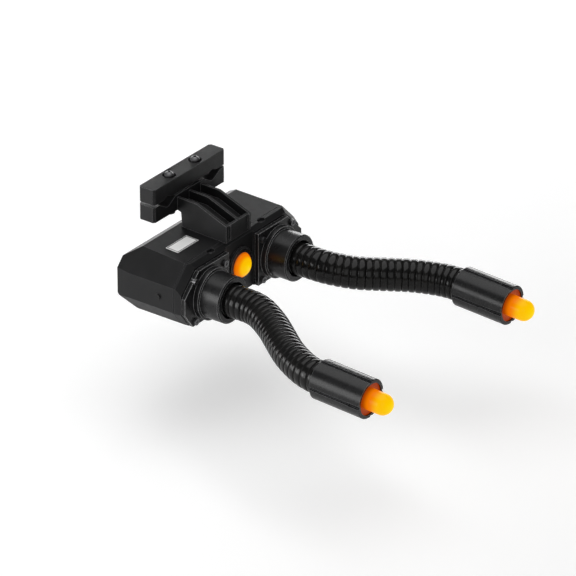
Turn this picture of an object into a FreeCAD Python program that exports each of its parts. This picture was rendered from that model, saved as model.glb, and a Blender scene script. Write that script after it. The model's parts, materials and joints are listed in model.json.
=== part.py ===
import FreeCAD, Part
import math
import os

# Bicycle tail light on a saddle rail clamp, with two flexible lamp arms. All sizes are in millimetres.
# +X is the bicycle's right, -Y its rear and +Z up. The origin lies midway between the two rail axes,
# at the middle of the clamp bars' depth.

Vector = FreeCAD.Vector
X_AXIS = Vector(1, 0, 0)
Y_AXIS = Vector(0, 1, 0)
Z_AXIS = Vector(0, 0, 1)

# Running and seating clearances
SEAT_GAP = 0.1
LOOSE_GAP = 0.3
OVERRUN = 2.0

# Saddle rail clamp
RAIL_RADIUS = 3.5
RAIL_HALF_SPACING = 22.0
RAIL_SEAT_ANGLE = 60.0
BAR_HALF_LENGTH = 35.0
BAR_DEPTH = 11.7
BAR_CORNER = 1.2
LOWER_BAR_TOP = 0.65
LOWER_BAR_HEIGHT = 10.2
CLAMP_GAP = 1.5
TOP_BAR_HEIGHT = 10.2
BOLT_HALF_SPACING = 12.7
BOLT_RADIUS = 2.0
BOLT_HOLE_GAP = 0.25
BOLT_HEAD_RADIUS = 3.05
BOLT_HEAD_HEIGHT = 4.2
BOLT_HEAD_RIM = 2.5
BOLT_SOCKET_RADIUS = 1.15
BOLT_SOCKET_DEPTH = 1.5
COUNTERBORE_GAP = 1.1
COUNTERBORE_DEPTH = 1.9
NUT_RADIUS = 3.6
NUT_HEIGHT = 7.5
NUT_PROUD = 3.0
NUT_FLOOR = 0.8
THREAD_GAP = 0.08

# Bracket arm between the clamp and the housing
ARM_HALF_WIDTH = 12.2
ARM_WALL = 1.8
ARM_TOP_Z = -1.1
ARM_KNEE_Y = -20.0
ARM_KNEE_Z = -1.5
ARM_BACK_Y = -42.4
ARM_BACK_Z = -10.1
ARM_THROAT_Y = -8.4
ARM_THROAT_Z = -10.4
ARM_TOE_Y = -9.3
ARM_WEB_DROP = 5.5
ARM_FOOT = 1.8
ARM_STUB_HALF_WIDTH = 1.1
ARM_STUB_DEPTH = 1.2
FOOT_SCREW_RADIUS = 1.5
FOOT_SCREW_HEAD_RADIUS = 2.8
FOOT_SCREW_HEAD_HEIGHT = 1.8
FOOT_SCREW_HALF_SPACING = 5.5
FOOT_SCREW_YS = (-16.0, -31.0)
FOOT_BOSS_RADIUS = 2.9
FOOT_BOSS_HEIGHT = 4.0

# Housing
HOUSING_HALF_WIDTH = 59.0
HOUSING_TOP_Z = -19.8
HOUSING_TOP_REAR_Z = -21.0
HOUSING_BOTTOM_Z = -59.6
HOUSING_NOSE_Y = 4.5
HOUSING_TOP_FRONT_Y = -5.6
HOUSING_NOSE_TOP_Z = -26.5
HOUSING_NOSE_BOTTOM_Z = -49.1
HOUSING_BOTTOM_FRONT_Y = -5.1
END_TOP_Z = -33.1
END_BOTTOM_Z = -49.6
TOP_CHAMFER = 12.8
BOTTOM_CHAMFER = 7.5
END_TURN_Y = -4.3
END_TURN = 0.8
HOUSING_WALL = 2.0
PARTING_Y = -38.0
PARTING_GAP = 0.4
COVER_BACK_Y = -43.6
COVER_WALL = 2.0
COVER_EDGE_Y = -39.6
COVER_BACK_TOP_Z = -23.6
COVER_BACK_END_X = 58.6
COVER_BACK_END_TOP_Z = -36.8
COVER_BACK_TOP_CHAMFER = 13.6
SEAL_MARGIN = 0.5
SEAL_WIDTH = 1.1
CENTRE_RECESS_HALF_WIDTH = 13.6
CENTRE_RECESS_DEPTH = 0.8

# Screws that close the rear cover, set in oval dimples at its top edge
COVER_SCREW_X = 25.0
COVER_SCREW_Y = -40.2
COVER_SCREW_RADIUS = 0.8
COVER_SCREW_HEAD_RADIUS = 1.4
COVER_SCREW_HEAD_HEIGHT = 1.1
COVER_SCREW_LENGTH = 6.0
COVER_DIMPLE_RADIUS = 1.55
COVER_DIMPLE_STRETCH = 1.6
COVER_DIMPLE_DEPTH = 1.8
COVER_SCREW_WALL = 1.2
TONGUE_HALF_WIDTH = 3.6
TONGUE_DEPTH = 7.0
TONGUE_LENGTH = 9.0

# Sockets that hold the arms
SOCKET_X = 33.45
SOCKET_Z = -43.8
FLANGE_INNER_X = 14.6
FLANGE_OUTER_X = 58.0
FLANGE_TOP_Z = -25.0
FLANGE_BOTTOM_Z = -59.9
FLANGE_TOP_CHAMFER = 13.8
FLANGE_BOTTOM_CHAMFER = 7.6
FLANGE_BOTTOM_RISE = 10.4
FLANGE_THICKNESS = 2.6
COLLAR_RADIUS = 16.5
COLLAR_HEIGHT = 3.4
SLEEVE_RADIUS = 14.8
SLEEVE_MOUTH_Y = -63.4
SLEEVE_MOUTH_RADIUS = 11.3
SLEEVE_SEAT_DEPTH = 8.0
SLEEVE_EDGE = 0.8
SOCKET_FLOOR = 1.2
LEAD_HOLE_RADIUS = 4.0
SOCKET_SCREW_DX = 14.6
SOCKET_SCREW_DZ = 13.4
SOCKET_SCREW_RADIUS = 1.2
SOCKET_SCREW_HEAD_RADIUS = 2.1
SOCKET_SCREW_HEAD_HEIGHT = 1.5
SOCKET_BOSS_RADIUS = 2.4
SOCKET_BOSS_FLOOR = 0.6

# Flexible arms. The route is that of the right arm, and the left one is its mirror image.
HOSE_RADIUS = 10.2
HOSE_GROOVE_RADIUS = 9.4
HOSE_BORE_RADIUS = 4.5
RIB_PITCH = 4.4
RIB_FLANK = 0.5
RIB_GROOVE = 0.5
ROUTE_BEND_1 = (33.45, -82.2, -43.8)
ROUTE_BEND_2 = (41.4, -98.8, -46.0)
ROUTE_BEND_3 = (62.7, -127.3, -47.6)
ROUTE_BEND_4 = (71.7, -147.4, -48.8)
ROUTE_TANGENT_SHARE = 0.42
FIRST_HINGE = 6.0
HINGE_PITCH = 24.0
HINGE_COUNT = 4
HINGE_LIMIT = 20.0
BALL_RADIUS = 8.0
CUP_GAP = 0.3
CUP_RIM = 1.5
CUP_FLOOR_RADIUS = 5.5
CUP_FLOOR_STEP = 0.4
NECK_BORE_RADIUS = 3.9
NECK_STEP = 1.0

# Lamp heads
HEAD_REAR_Y = -156.1
HEAD_LENGTH = 36.4
HEAD_DROOP = 3.0
HEAD_RADIUS = 12.45
HEAD_WALL = 2.15
HEAD_EDGE = 1.0
HEAD_RIM_EDGE = 0.5
HEAD_PLUG_DEPTH = 20.6
HEAD_WEB = 1.2
HEAD_GROOVE_ANGLES = (5.0, 95.0, 185.0, 275.0)
HEAD_GROOVE_WIDTH = 1.3
HEAD_GROOVE_DEPTH = 1.1
HEAD_FACE_ANGLES = (95.0, 275.0)
HEAD_FACE_DEPTH = 0.6
HEAD_SLOT_WIDTH = 2.0
HEAD_SLOT_LENGTH = 8.0
HEAD_SLOT_DEPTH = 1.3
LAMP_WELL_WALL = 2.25
LAMP_BOARD_THICKNESS = 1.6
LAMP_CHIP_SIZE = 5.0
LAMP_CHIP_HEIGHT = 1.8
LAMP_CUP_WALL = 0.8
LAMP_CUP_BACK_RADIUS = 4.2
LAMP_LENS_RADIUS = 6.6
LAMP_LENS_RIM = 1.5
LAMP_LENS_STEM = 8.4

# Centre lamp
CENTRE_LAMP_Z = -40.1
CENTRE_LENS_RADIUS = 9.0
CENTRE_LENS_DOME = 5.0
CENTRE_LENS_RIM = 1.2
BEZEL_RADIUS = 11.5
BEZEL_HEIGHT = 2.0
BEZEL_EDGE = 0.8
CENTRE_CUP_WALL = 0.8
CENTRE_CUP_BACK_RADIUS = 4.6
CENTRE_CHIP_SIZE = 5.0
CENTRE_CHIP_HEIGHT = 1.6

# Inside the housing
BOARD_LEFT_X = -43.0
BOARD_RIGHT_X = 52.5
BOARD_TOP_Z = -33.0
BOARD_BOTTOM_Z = -54.0
BOARD_BACK_Y = -35.0
BOARD_THICKNESS = 1.6
BOARD_POST_RADIUS = 2.2
BOARD_POST_INSET = 3.2
CELL_RADIUS = 9.2
CELL_LENGTH = 65.0
CELL_Y = -11.5
CELL_TERMINAL_RADIUS = 3.2
CELL_TERMINAL_HEIGHT = 1.2
CRADLE_WIDTH = 2.0
CRADLE_HEIGHT = 6.0
CRADLE_HALF_DEPTH = 7.0
CRADLE_HALF_SPACING = 22.0

# Power button, its switch and the charging port
BUTTON_Y = -26.8
BUTTON_Z = -41.8
BUTTON_RADIUS = 1.8
BUTTON_PROUD = 0.9
BUTTON_FLANGE_RADIUS = 3.2
BUTTON_FLANGE = 0.8
BUTTON_TRAVEL = 0.6
SWITCH_SIZE = 6.0
SWITCH_HEIGHT = 3.4
SWITCH_BOARD_HALF_SIZE = 7.0
SWITCH_POST_RADIUS = 1.4
PORT_HEIGHT = 9.0
PORT_THICKNESS = 3.2
PORT_DEPTH = 7.3
PORT_WALL = 0.4
PORT_Z = -43.0
PORT_RECESS = 0.6
FLAP_THICKNESS = 1.4
FLAP_HALF_HEIGHT = 7.0
FLAP_LENGTH = 10.6
FLAP_GAP = 0.3
FLAP_PIN_RADIUS = 0.6
FLAP_KNUCKLE_RADIUS = 1.0
FLAP_KNUCKLE_HALF_LENGTH = 3.0
FLAP_EAR_THICKNESS = 1.6
FLAP_EAR_REACH = 1.3

# Blank plate on the left half of the housing's top
PLATE_X = -29.7
PLATE_Y = -22.7
PLATE_LENGTH = 20.0
PLATE_DEPTH = 9.2
PLATE_THICKNESS = 0.4

# Worked out from the sizes above
LOWER_BAR_BOTTOM = LOWER_BAR_TOP - LOWER_BAR_HEIGHT
TOP_BAR_BOTTOM = LOWER_BAR_TOP + CLAMP_GAP
TOP_BAR_TOP = TOP_BAR_BOTTOM + TOP_BAR_HEIGHT
BAR_REAR_Y = -BAR_DEPTH / 2
COVER_FRONT_Y = PARTING_Y - PARTING_GAP
COVER_INNER_Y = COVER_BACK_Y + COVER_WALL
TOP_SLOPE = (HOUSING_TOP_REAR_Z - HOUSING_TOP_Z) / (PARTING_Y - HOUSING_TOP_FRONT_Y)
FLANGE_BACK_Y = COVER_BACK_Y - FLANGE_THICKNESS
SOCKET_FLOOR_Y = COVER_BACK_Y - SOCKET_FLOOR
HOSE_START_Y = SOCKET_FLOOR_Y - SEAT_GAP
SOCKET_BOSS_FRONT_Y = COVER_FRONT_Y - LOOSE_GAP
SOCKET_HOLE_FRONT_Y = SOCKET_BOSS_FRONT_Y - SOCKET_BOSS_FLOOR
HEAD_SEAT_RADIUS = HEAD_RADIUS - HEAD_WALL
HOSE_PLUG_RADIUS = HEAD_SEAT_RADIUS - SEAT_GAP
HEAD_WEB_DEPTH = HEAD_PLUG_DEPTH + SEAT_GAP
LAMP_WELL_RADIUS = HEAD_RADIUS - LAMP_WELL_WALL
LAMP_WELL_DEPTH = HEAD_WEB_DEPTH + HEAD_WEB
LAMP_LENS_DEPTH = HEAD_LENGTH - LAMP_LENS_RIM - HEAD_EDGE
CUP_RADIUS = BALL_RADIUS + CUP_GAP


def housing_top(y):
    """Height of the housing's sloping top at a place along the bicycle."""
    return HOUSING_TOP_Z + TOP_SLOPE * (y - HOUSING_TOP_FRONT_Y)


def box(x, y, z):
    """A box from three pairs of limits."""
    corner = Vector(min(x), min(y), min(z))
    return Part.makeBox(abs(x[1] - x[0]), abs(y[1] - y[0]), abs(z[1] - z[0]), corner)


def rod(radius, start, end):
    """A cylinder between two points."""
    start = Vector(start)
    axis = Vector(end) - start
    return Part.makeCylinder(radius, axis.Length, start, axis)


def prism(points, direction):
    """A closed outline pushed along a direction."""
    outline = [Vector(p) for p in points]
    return Part.Face(Part.makePolygon(outline + outline[:1])).extrude(Vector(direction))


def prism_x(points, low, high):
    """A (y, z) outline between two places along X."""
    return prism([(low, y, z) for y, z in points], (high - low, 0, 0))


def prism_y(points, low, high):
    """An (x, z) outline between two places along Y."""
    return prism([(x, low, z) for x, z in points], (0, high - low, 0))


def prism_z(points, low, high):
    """An (x, y) outline between two heights."""
    return prism([(x, y, low) for x, y in points], (0, 0, high - low))


def turned(points, centre, direction):
    """A solid of revolution from (radius, distance along the axis) points."""
    outline = [Vector(r, 0, along) for r, along in points]
    face = Part.Face(Part.makePolygon(outline + outline[:1]))
    solid = face.revolve(Vector(0, 0, 0), Z_AXIS, 360)
    turn = FreeCAD.Rotation(Z_AXIS, Vector(direction))
    solid.Placement = FreeCAD.Placement(Vector(centre), turn)
    return solid


def inset(points, distance):
    """A convex outline, listed anticlockwise, moved inwards by a distance."""
    lines = []
    for (ax, ay), (bx, by) in zip(points, points[1:] + points[:1]):
        length = math.hypot(bx - ax, by - ay)
        nx = -(by - ay) / length
        ny = (bx - ax) / length
        lines.append((nx, ny, nx * ax + ny * ay + distance))
    corners = []
    for (ax, ay, a), (bx, by, b) in zip(lines[-1:] + lines[:-1], lines):
        det = ax * by - ay * bx
        corners.append(((a * by - b * ay) / det, (ax * b - bx * a) / det))
    return corners


def mirrored(shape):
    """The same shape on the other side of the bicycle."""
    return shape.mirror(Vector(0, 0, 0), X_AXIS)


def joined(shapes):
    """One solid from touching shapes."""
    return shapes[0].fuse(shapes[1:]).removeSplitter()


def end_outline():
    """The housing seen from behind, in X and Z."""
    wide = HOUSING_HALF_WIDTH
    top = wide - TOP_CHAMFER
    low = wide - BOTTOM_CHAMFER
    half = [(low, HOUSING_BOTTOM_Z), (wide, END_BOTTOM_Z), (wide, END_TOP_Z), (top, HOUSING_TOP_Z)]
    return half + [(-x, z) for x, z in half[::-1]]


def side_outline():
    """The housing seen from its side, in Y and Z, running on past its rear."""
    rear = COVER_BACK_Y - HOUSING_HALF_WIDTH
    return [(rear, HOUSING_BOTTOM_Z), (HOUSING_BOTTOM_FRONT_Y, HOUSING_BOTTOM_Z),
            (HOUSING_NOSE_Y, HOUSING_NOSE_BOTTOM_Z), (HOUSING_NOSE_Y, HOUSING_NOSE_TOP_Z),
            (HOUSING_TOP_FRONT_Y, HOUSING_TOP_Z), (rear, housing_top(rear))]


def plan_outline():
    """The housing seen from above, in X and Y, running on past its rear."""
    wide = HOUSING_HALF_WIDTH
    rear = COVER_BACK_Y - HOUSING_HALF_WIDTH
    return [(-wide, rear), (wide, rear), (wide, END_TURN_Y), (wide - END_TURN, HOUSING_NOSE_Y),
            (END_TURN - wide, HOUSING_NOSE_Y), (-wide, END_TURN_Y)]


def housing_block(margin, rear, front):
    """The faceted body of the housing between two places along Y, drawn in by a margin on all sides."""
    block = prism_y(inset(end_outline(), margin), rear, front)
    wide = HOUSING_HALF_WIDTH + OVERRUN
    block = block.common(prism_x(inset(side_outline(), margin), -wide, wide))
    top = HOUSING_TOP_Z + OVERRUN
    return block.common(prism_z(inset(plan_outline(), margin), HOUSING_BOTTOM_Z - OVERRUN, top))


def bar(low, high):
    """One clamp bar between two heights, its upright corners cut off."""
    reach = BAR_HALF_LENGTH
    deep = BAR_DEPTH / 2
    cut = BAR_CORNER
    outline = [(-reach + cut, -deep), (reach - cut, -deep), (reach, -deep + cut), (reach, deep - cut),
               (reach - cut, deep), (-reach + cut, deep), (-reach, deep - cut), (-reach, -deep + cut)]
    return prism_z(outline, low, high)


def rail_groove(side, down, edge):
    """The V with a rounded floor that a rail lies in. It opens towards the edge height."""
    half = math.radians(RAIL_SEAT_ANGLE / 2)
    sign = -1 if down else 1
    seat_x = RAIL_RADIUS * math.sin(half)
    seat_z = RAIL_RADIUS * math.cos(half)
    mouth_z = edge - sign * OVERRUN
    mouth_x = seat_x + (seat_z - sign * mouth_z) / math.tan(half)
    centre = side * RAIL_HALF_SPACING

    def at(x, z):
        return Vector(centre + x, BAR_REAR_Y - OVERRUN, sign * z)

    seat = Part.Arc(at(-seat_x, seat_z), at(0, RAIL_RADIUS), at(seat_x, seat_z)).toShape()
    mouth = sign * mouth_z
    rim = Part.makePolygon([at(seat_x, seat_z), at(mouth_x, mouth), at(-mouth_x, mouth), at(-seat_x, seat_z)])
    face = Part.Face(Part.Wire([seat] + rim.Edges))
    return face.extrude(Vector(0, BAR_DEPTH + 2 * OVERRUN, 0))


def clamp_top_bar():
    """The upper clamp bar, with shallow rail grooves and counterbored bolt holes."""
    shape = bar(TOP_BAR_BOTTOM, TOP_BAR_TOP)
    for side in (-1, 1):
        shape = shape.cut(rail_groove(side, False, TOP_BAR_BOTTOM))
        x = side * BOLT_HALF_SPACING
        hole = BOLT_RADIUS + BOLT_HOLE_GAP
        shape = shape.cut(rod(hole, (x, 0, TOP_BAR_BOTTOM - OVERRUN), (x, 0, TOP_BAR_TOP + OVERRUN)))
        seat = (x, 0, TOP_BAR_TOP - COUNTERBORE_DEPTH)
        shape = shape.cut(rod(BOLT_HEAD_RADIUS + COUNTERBORE_GAP, seat, (x, 0, TOP_BAR_TOP + OVERRUN)))
    return shape


def clamp_bolt(side):
    """A domed socket bolt, standing in its counterbore."""
    x = side * BOLT_HALF_SPACING
    seat = TOP_BAR_TOP - COUNTERBORE_DEPTH
    tip = LOWER_BAR_BOTTOM - NUT_PROUD + NUT_FLOOR + LOOSE_GAP
    rise = BOLT_HEAD_HEIGHT - BOLT_HEAD_RIM
    dome_radius = (BOLT_HEAD_RADIUS ** 2 + rise ** 2) / (2 * rise)
    head = rod(BOLT_HEAD_RADIUS, (x, 0, seat), (x, 0, seat + BOLT_HEAD_HEIGHT))
    head = head.common(Part.makeSphere(dome_radius, Vector(x, 0, seat + BOLT_HEAD_HEIGHT - dome_radius)))
    corners = [(x + BOLT_SOCKET_RADIUS * math.cos(math.radians(60 * i)),
                BOLT_SOCKET_RADIUS * math.sin(math.radians(60 * i))) for i in range(6)]
    top = seat + BOLT_HEAD_HEIGHT
    head = head.cut(prism_z(corners, top - BOLT_SOCKET_DEPTH, top + OVERRUN))
    return joined([head, rod(BOLT_RADIUS, (x, 0, tip), (x, 0, seat))])


def clamp_nut(side):
    """A round threaded insert let into the lower bar from below, closed at its foot."""
    x = side * BOLT_HALF_SPACING
    foot = LOWER_BAR_BOTTOM - NUT_PROUD
    body = rod(NUT_RADIUS, (x, 0, foot), (x, 0, foot + NUT_HEIGHT))
    thread = rod(BOLT_RADIUS + THREAD_GAP, (x, 0, foot + NUT_FLOOR), (x, 0, foot + NUT_HEIGHT + OVERRUN))
    return body.cut(thread)


def arm_web_outline():
    """The floor of the arm's channels, seen from the side."""
    top = [(BAR_REAR_Y, ARM_TOP_Z), (ARM_KNEE_Y, ARM_KNEE_Z), (ARM_BACK_Y + ARM_WALL / 2, ARM_BACK_Z)]
    upper = [(y, z - ARM_WEB_DROP) for y, z in top]
    lower = [(y, z - ARM_WALL) for y, z in upper]
    return upper + lower[::-1]


def bracket():
    """The lower clamp bar with its ribbed arm and the foot that stands on the housing."""
    shape = bar(LOWER_BAR_BOTTOM, LOWER_BAR_TOP)
    foot_rear = (ARM_BACK_Y, housing_top(ARM_BACK_Y))
    foot_front = (ARM_TOE_Y, housing_top(ARM_TOE_Y))
    wall = [(BAR_REAR_Y, ARM_TOP_Z), (ARM_KNEE_Y, ARM_KNEE_Z), (ARM_BACK_Y, ARM_BACK_Z), foot_rear,
            foot_front, (ARM_THROAT_Y, ARM_THROAT_Z), (BAR_REAR_Y, LOWER_BAR_BOTTOM)]
    wide = ARM_HALF_WIDTH
    half = ARM_WALL / 2
    for low, high in ((-wide, -wide + ARM_WALL), (-half, half), (wide - ARM_WALL, wide)):
        shape = shape.fuse(prism_x(wall, low, high))
    shape = shape.fuse(prism_x(arm_web_outline(), -wide, wide))
    back_inner = ARM_BACK_Y + ARM_WALL
    back = [(ARM_BACK_Y, ARM_BACK_Z), foot_rear, (back_inner, housing_top(back_inner)),
            (back_inner, ARM_BACK_Z)]
    shape = shape.fuse(prism_x(back, -wide, wide))
    foot = [foot_rear, foot_front, (ARM_TOE_Y, foot_front[1] + ARM_FOOT),
            (ARM_BACK_Y, foot_rear[1] + ARM_FOOT)]
    shape = shape.fuse(prism_x(foot, -wide, wide))
    for side in (-1, 1):
        stub = side * (wide - ARM_WALL - ARM_STUB_HALF_WIDTH)
        limits = (stub - ARM_STUB_HALF_WIDTH / 2, stub + ARM_STUB_HALF_WIDTH / 2)
        stub_y = (ARM_BACK_Y - ARM_STUB_DEPTH, ARM_BACK_Y + half)
        shape = shape.fuse(box(limits, stub_y, (ARM_BACK_Z, foot_rear[1] + ARM_FOOT)))
        shape = shape.cut(rail_groove(side, True, LOWER_BAR_TOP))
        x = side * BOLT_HALF_SPACING
        hole = BOLT_RADIUS + BOLT_HOLE_GAP
        shape = shape.cut(rod(hole, (x, 0, LOWER_BAR_BOTTOM), (x, 0, LOWER_BAR_TOP + OVERRUN)))
        nut_top = LOWER_BAR_BOTTOM - NUT_PROUD + NUT_HEIGHT + SEAT_GAP
        shape = shape.cut(rod(NUT_RADIUS + SEAT_GAP / 2, (x, 0, LOWER_BAR_BOTTOM - OVERRUN), (x, 0, nut_top)))
    for x, y in foot_screw_places():
        sole = housing_top(y)
        boss_top = sole + ARM_FOOT + FOOT_BOSS_HEIGHT
        boss = rod(FOOT_BOSS_RADIUS, (x, y, sole + ARM_FOOT / 2), (x, y, boss_top))
        hole = rod(FOOT_SCREW_RADIUS + SEAT_GAP / 2, (x, y, sole - OVERRUN), (x, y, boss_top - SEAT_GAP))
        shape = shape.fuse(boss).cut(hole)
    return shape.removeSplitter()


def foot_screw_places():
    """Where the screws come up through the housing's top into the bracket's foot."""
    return [(side * FOOT_SCREW_HALF_SPACING, y) for side in (-1, 1) for y in FOOT_SCREW_YS]


def foot_screw(x, y):
    """A screw from inside the housing up into the bracket's foot."""
    seat = housing_top(y) - HOUSING_WALL - SEAT_GAP
    tip = housing_top(y) + ARM_FOOT + FOOT_BOSS_HEIGHT - 3 * SEAT_GAP
    head = rod(FOOT_SCREW_HEAD_RADIUS, (x, y, seat - FOOT_SCREW_HEAD_HEIGHT), (x, y, seat))
    return joined([head, rod(FOOT_SCREW_RADIUS, (x, y, seat - FOOT_SCREW_HEAD_HEIGHT / 2), (x, y, tip))])


def cover_screw_top(x):
    """The floor of the dimple that a cover screw sits in."""
    return Vector(x, COVER_SCREW_Y, housing_top(COVER_SCREW_Y) - COVER_DIMPLE_DEPTH)


def below(point, distance):
    """The point straight under another one."""
    return point - Z_AXIS * distance


def cover_screw(side):
    """A small upright screw through the cover's top edge into the shell's tongue."""
    top = cover_screw_top(side * COVER_SCREW_X)
    head = rod(COVER_SCREW_HEAD_RADIUS, below(top, COVER_SCREW_HEAD_HEIGHT), top)
    stem = rod(COVER_SCREW_RADIUS, below(top, COVER_SCREW_LENGTH), below(top, COVER_SCREW_HEAD_HEIGHT / 2))
    return joined([head, stem])


def tongue_top(top):
    """Height of the shell's tongue under a cover screw's seat."""
    return top.z - COVER_SCREW_HEAD_HEIGHT - COVER_SCREW_WALL - LOOSE_GAP


def cradle(x):
    """A rib on the housing's floor, hollowed to carry the cell."""
    floor = HOUSING_BOTTOM_Z + HOUSING_WALL
    depth = (CELL_Y - CRADLE_HALF_DEPTH, CELL_Y + CRADLE_HALF_DEPTH)
    width = (x - CRADLE_WIDTH / 2, x + CRADLE_WIDTH / 2)
    rib = box(width, depth, (floor - HOUSING_WALL / 2, floor + CRADLE_HEIGHT))
    ends = [(x + side * CRADLE_WIDTH, CELL_Y, cell_z()) for side in (-1, 1)]
    return rib.cut(rod(CELL_RADIUS + LOOSE_GAP / 2, ends[0], ends[1]))


def cell_z():
    """Height of the cell's axis, a little above the housing's floor."""
    return HOUSING_BOTTOM_Z + HOUSING_WALL + LOOSE_GAP + CELL_RADIUS


def switch_board_x():
    """Outer face of the little board behind the button."""
    inside = HOUSING_HALF_WIDTH - HOUSING_WALL
    return -(inside - BUTTON_FLANGE - BUTTON_TRAVEL - SEAT_GAP - SWITCH_HEIGHT)


def housing_shell():
    """The front shell: a faceted box open at the rear, with tongues, posts and cradles inside."""
    shape = housing_block(0, PARTING_Y, HOUSING_NOSE_Y)
    inner = housing_block(HOUSING_WALL, PARTING_Y - OVERRUN, HOUSING_NOSE_Y)
    shape = shape.cut(inner)
    for side in (-1, 1):
        top = cover_screw_top(side * COVER_SCREW_X)
        under = tongue_top(top)
        xs = (top.x - TONGUE_HALF_WIDTH, top.x + TONGUE_HALF_WIDTH)
        tongue_rear = COVER_INNER_Y + LOOSE_GAP
        tongue_front = tongue_rear + TONGUE_LENGTH
        root_top = housing_top(PARTING_Y) - HOUSING_WALL / 2
        root_rear = COVER_FRONT_Y + COVER_SCREW_WALL
        root = box(xs, (root_rear, tongue_front), (under - TONGUE_DEPTH / 2, root_top))
        tongue = box(xs, (tongue_rear, tongue_front), (under - TONGUE_DEPTH, under))
        shape = shape.fuse([root, tongue])
        tip = below(top, COVER_SCREW_LENGTH + LOOSE_GAP)
        shape = shape.cut(rod(COVER_SCREW_RADIUS + SEAT_GAP / 2, tip, top))
        shape = shape.fuse(cradle(side * CRADLE_HALF_SPACING))
    for x, y in foot_screw_places():
        top = housing_top(y)
        low = (x, y, top - HOUSING_WALL - OVERRUN)
        shape = shape.cut(rod(FOOT_SCREW_RADIUS + SEAT_GAP, low, (x, y, top + OVERRUN)))
    wall_x = -HOUSING_HALF_WIDTH
    for side in (-1, 1):
        y = BUTTON_Y + side * (SWITCH_BOARD_HALF_SIZE - SWITCH_POST_RADIUS)
        foot = (wall_x + HOUSING_WALL / 2, y, BUTTON_Z)
        shape = shape.fuse(rod(SWITCH_POST_RADIUS, foot, (switch_board_x(), y, BUTTON_Z)))
    inside = (wall_x + HOUSING_WALL + OVERRUN / 2, BUTTON_Y, BUTTON_Z)
    shape = shape.cut(rod(BUTTON_RADIUS + SEAT_GAP, (wall_x - OVERRUN, BUTTON_Y, BUTTON_Z), inside))
    slot_x = (HOUSING_HALF_WIDTH - HOUSING_WALL - SEAT_GAP, HOUSING_HALF_WIDTH + OVERRUN)
    shape = shape.cut(box(slot_x, port_y(), port_zs(SEAT_GAP)))
    axis_x, axis_y = flap_axis()
    ear_x = (HOUSING_HALF_WIDTH - HOUSING_WALL / 2, axis_x + FLAP_EAR_REACH - FLAP_GAP)
    ear_y = (axis_y - FLAP_EAR_REACH, axis_y + FLAP_EAR_REACH)
    for side in (-1, 1):
        low = PORT_Z + side * (FLAP_KNUCKLE_HALF_LENGTH + LOOSE_GAP)
        high = low + side * FLAP_EAR_THICKNESS
        ends = [(axis_x, axis_y, z) for z in (low - side, high + side)]
        pin = rod(FLAP_PIN_RADIUS + SEAT_GAP / 2, ends[0], ends[1])
        shape = shape.fuse(box(ear_x, ear_y, (low, high))).cut(pin)
    return shape.removeSplitter()


def port_y():
    """The charging port's slot across its thickness, widened for a seat."""
    front = BOARD_BACK_Y + BOARD_THICKNESS
    return (front - SEAT_GAP / 2, front + PORT_THICKNESS + SEAT_GAP)


def port_zs(gap):
    """The charging port's slot along its height."""
    return (PORT_Z - PORT_HEIGHT / 2 - gap, PORT_Z + PORT_HEIGHT / 2 + gap)


def flap_axis():
    """The upright hinge axis of the rubber flap."""
    x = HOUSING_HALF_WIDTH + FLAP_GAP + FLAP_KNUCKLE_RADIUS
    y = sum(port_y()) / 2 + FLAP_LENGTH / 2 + FLAP_EAR_REACH + LOOSE_GAP
    return x, y


def cover_back_outline():
    """The cover's rear face, which its top edges slope down to."""
    wide = COVER_BACK_END_X
    top = wide - COVER_BACK_TOP_CHAMFER
    low = wide - BOTTOM_CHAMFER
    half = [(low, HOUSING_BOTTOM_Z), (wide, END_BOTTOM_Z), (wide, COVER_BACK_END_TOP_Z),
            (top, COVER_BACK_TOP_Z)]
    return half + [(-x, z) for x, z in half[::-1]]


def rear_cover():
    """The cover behind the shell, with screw bosses, board posts and the centre lamp's window."""
    shape = housing_block(0, COVER_BACK_Y, COVER_FRONT_Y)
    stations = ((end_outline(), COVER_FRONT_Y + OVERRUN), (end_outline(), COVER_EDGE_Y),
                (cover_back_outline(), COVER_BACK_Y))
    wires = []
    for outline, y in stations:
        corners = [Vector(x, y, z) for x, z in outline]
        wires.append(Part.makePolygon(corners + corners[:1]))
    shape = shape.common(Part.makeLoft(wires, True, True))
    shape = shape.cut(housing_block(HOUSING_WALL, COVER_INNER_Y, COVER_FRONT_Y + OVERRUN))
    outside = COVER_BACK_Y - OVERRUN
    inside = COVER_INNER_Y + OVERRUN
    recess_x = (-CENTRE_RECESS_HALF_WIDTH, CENTRE_RECESS_HALF_WIDTH)
    recess_z = (HOUSING_BOTTOM_Z - OVERRUN, HOUSING_TOP_Z + OVERRUN)
    shape = shape.cut(box(recess_x, (outside, COVER_BACK_Y + CENTRE_RECESS_DEPTH), recess_z))
    root = COVER_INNER_Y - COVER_WALL / 2
    for x, z in board_post_places():
        shape = shape.fuse(rod(BOARD_POST_RADIUS, (x, root, z), (x, BOARD_BACK_Y, z)))
    for side in (-1, 1):
        for x, z in socket_screw_places(side):
            boss = rod(SOCKET_BOSS_RADIUS, (x, root, z), (x, SOCKET_BOSS_FRONT_Y, z))
            hole = rod(SOCKET_SCREW_RADIUS + SEAT_GAP / 2, (x, outside, z), (x, SOCKET_HOLE_FRONT_Y, z))
            shape = shape.fuse(boss).cut(hole)
        x = side * SOCKET_X
        shape = shape.cut(rod(LEAD_HOLE_RADIUS, (x, outside, SOCKET_Z), (x, inside, SOCKET_Z)))
        shape = shape.fuse(cover_screw_boss(side)).cut(cover_screw_room(side))
    window_radius = CENTRE_LENS_RADIUS + CENTRE_CUP_WALL + SEAT_GAP
    window = rod(window_radius, (0, outside, CENTRE_LAMP_Z), (0, inside, CENTRE_LAMP_Z))
    return shape.cut(window).removeSplitter()


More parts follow.
